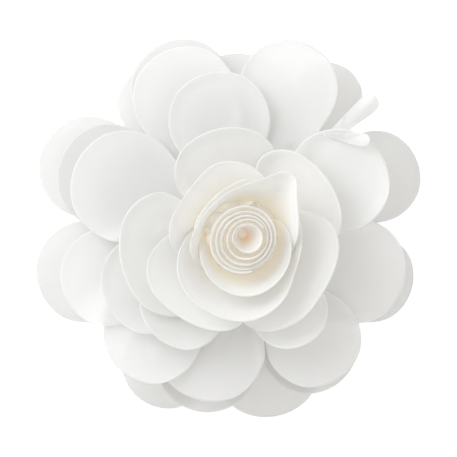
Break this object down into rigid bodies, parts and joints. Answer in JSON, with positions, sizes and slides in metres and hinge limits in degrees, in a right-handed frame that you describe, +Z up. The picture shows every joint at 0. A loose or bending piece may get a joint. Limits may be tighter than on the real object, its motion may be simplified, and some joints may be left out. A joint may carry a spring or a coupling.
{
  "type": "flower hair clip",
  "caption": "Large white fabric rose with layered round petals round a rolled bud, backed with felt and glued to a sprung steel alligator hair clip.",
  "frame": {"origin": "centre of the underside of the bounding box, where the back petals rest on a table", "axes": "+Z up through the flower out of the bud, +X along the clip from the jaw tips towards the thumb lever"},
  "size_m": [0.1136, 0.1118, 0.0409],
  "materials": {
    "back_cloth": "sheer white cloth in shade, matt with a slight sheen",
    "petal_cloth": "sheer white cloth, matt with a slight sheen",
    "inner_cloth": "sheer off-white cloth",
    "heart_cloth": "sheer cream cloth",
    "bud_cloth": "sheer cream to peach cloth",
    "felt": "pressed off-white felt",
    "buckram": "stiff open-weave cloth",
    "hot_glue": "cloudy hot-melt glue",
    "plate_steel": "nickel-plated pressed steel",
    "jaw_steel": "nickel-plated pressed steel",
    "pin_steel": "nickel-plated rivet",
    "spring_wire": "bright spring wire"
  },
  "bodies": {
    "flower": {"back_petal_bottom": "back_cloth", "back_petal_left": "back_cloth", "back_petal_lower": "back_cloth", "back_petal_lower_left": "back_cloth", "back_petal_lower_right": "back_cloth", "back_petal_right": "back_cloth", "back_petal_top": "back_cloth", "back_petal_top_left": "back_cloth", "back_petal_top_right": "back_cloth", "back_petal_upper_left": "back_cloth", "back_petal_upper_right": "back_cloth", "base_disc": "buckram", "bud_heart": "heart_cloth", "bud_roll": "bud_cloth", "cup_petal_left": "inner_cloth", "cup_petal_lower_right": "inner_cloth", "cup_petal_right": "inner_cloth", "cup_petal_top": "inner_cloth", "felt_backing": "felt", "folded_lip": "petal_cloth", "folded_petal": "petal_cloth", "glue_pad": "hot_glue", "heart_wrap_back": "heart_cloth", "heart_wrap_inner": "heart_cloth", "heart_wrap_outer": "heart_cloth", "hinge_pin": "pin_steel", "inner_petal_left": "petal_cloth", "inner_petal_lower_left": "petal_cloth", "inner_petal_top": "petal_cloth", "inner_petal_upper_right": "petal_cloth", "outer_petal_left": "petal_cloth", "outer_petal_lower": "petal_cloth", "outer_petal_lower_left": "petal_cloth", "outer_petal_lower_right": "petal_cloth", "outer_petal_right": "petal_cloth", "outer_petal_top_left": "petal_cloth", "outer_petal_top_right": "petal_cloth", "outer_petal_upper_left": "petal_cloth", "torsion_spring": "spring_wire", "under_petal_top_left": "back_cloth", "under_petal_upper_left": "back_cloth", "upper_jaw": "plate_steel", "wrap_petal_lower": "inner_cloth", "wrap_petal_lower_left": "inner_cloth", "wrap_petal_lower_right": "inner_cloth", "wrap_petal_upper_left": "inner_cloth"},
    "lower_jaw": {"lower_jaw": "jaw_steel"}
  },
  "joints": [
    {"name": "jaw_hinge", "type": "hinge", "parent": "flower", "child": "lower_jaw", "pos_m": [0.01208, -0.00296, 0.0094], "axis": [0, -1, 0], "range_deg": [0, 25], "stiffness_Nm_per_rad": 0.06, "springref_deg": -45.84, "deforming": ["torsion_spring"]}
  ]
}
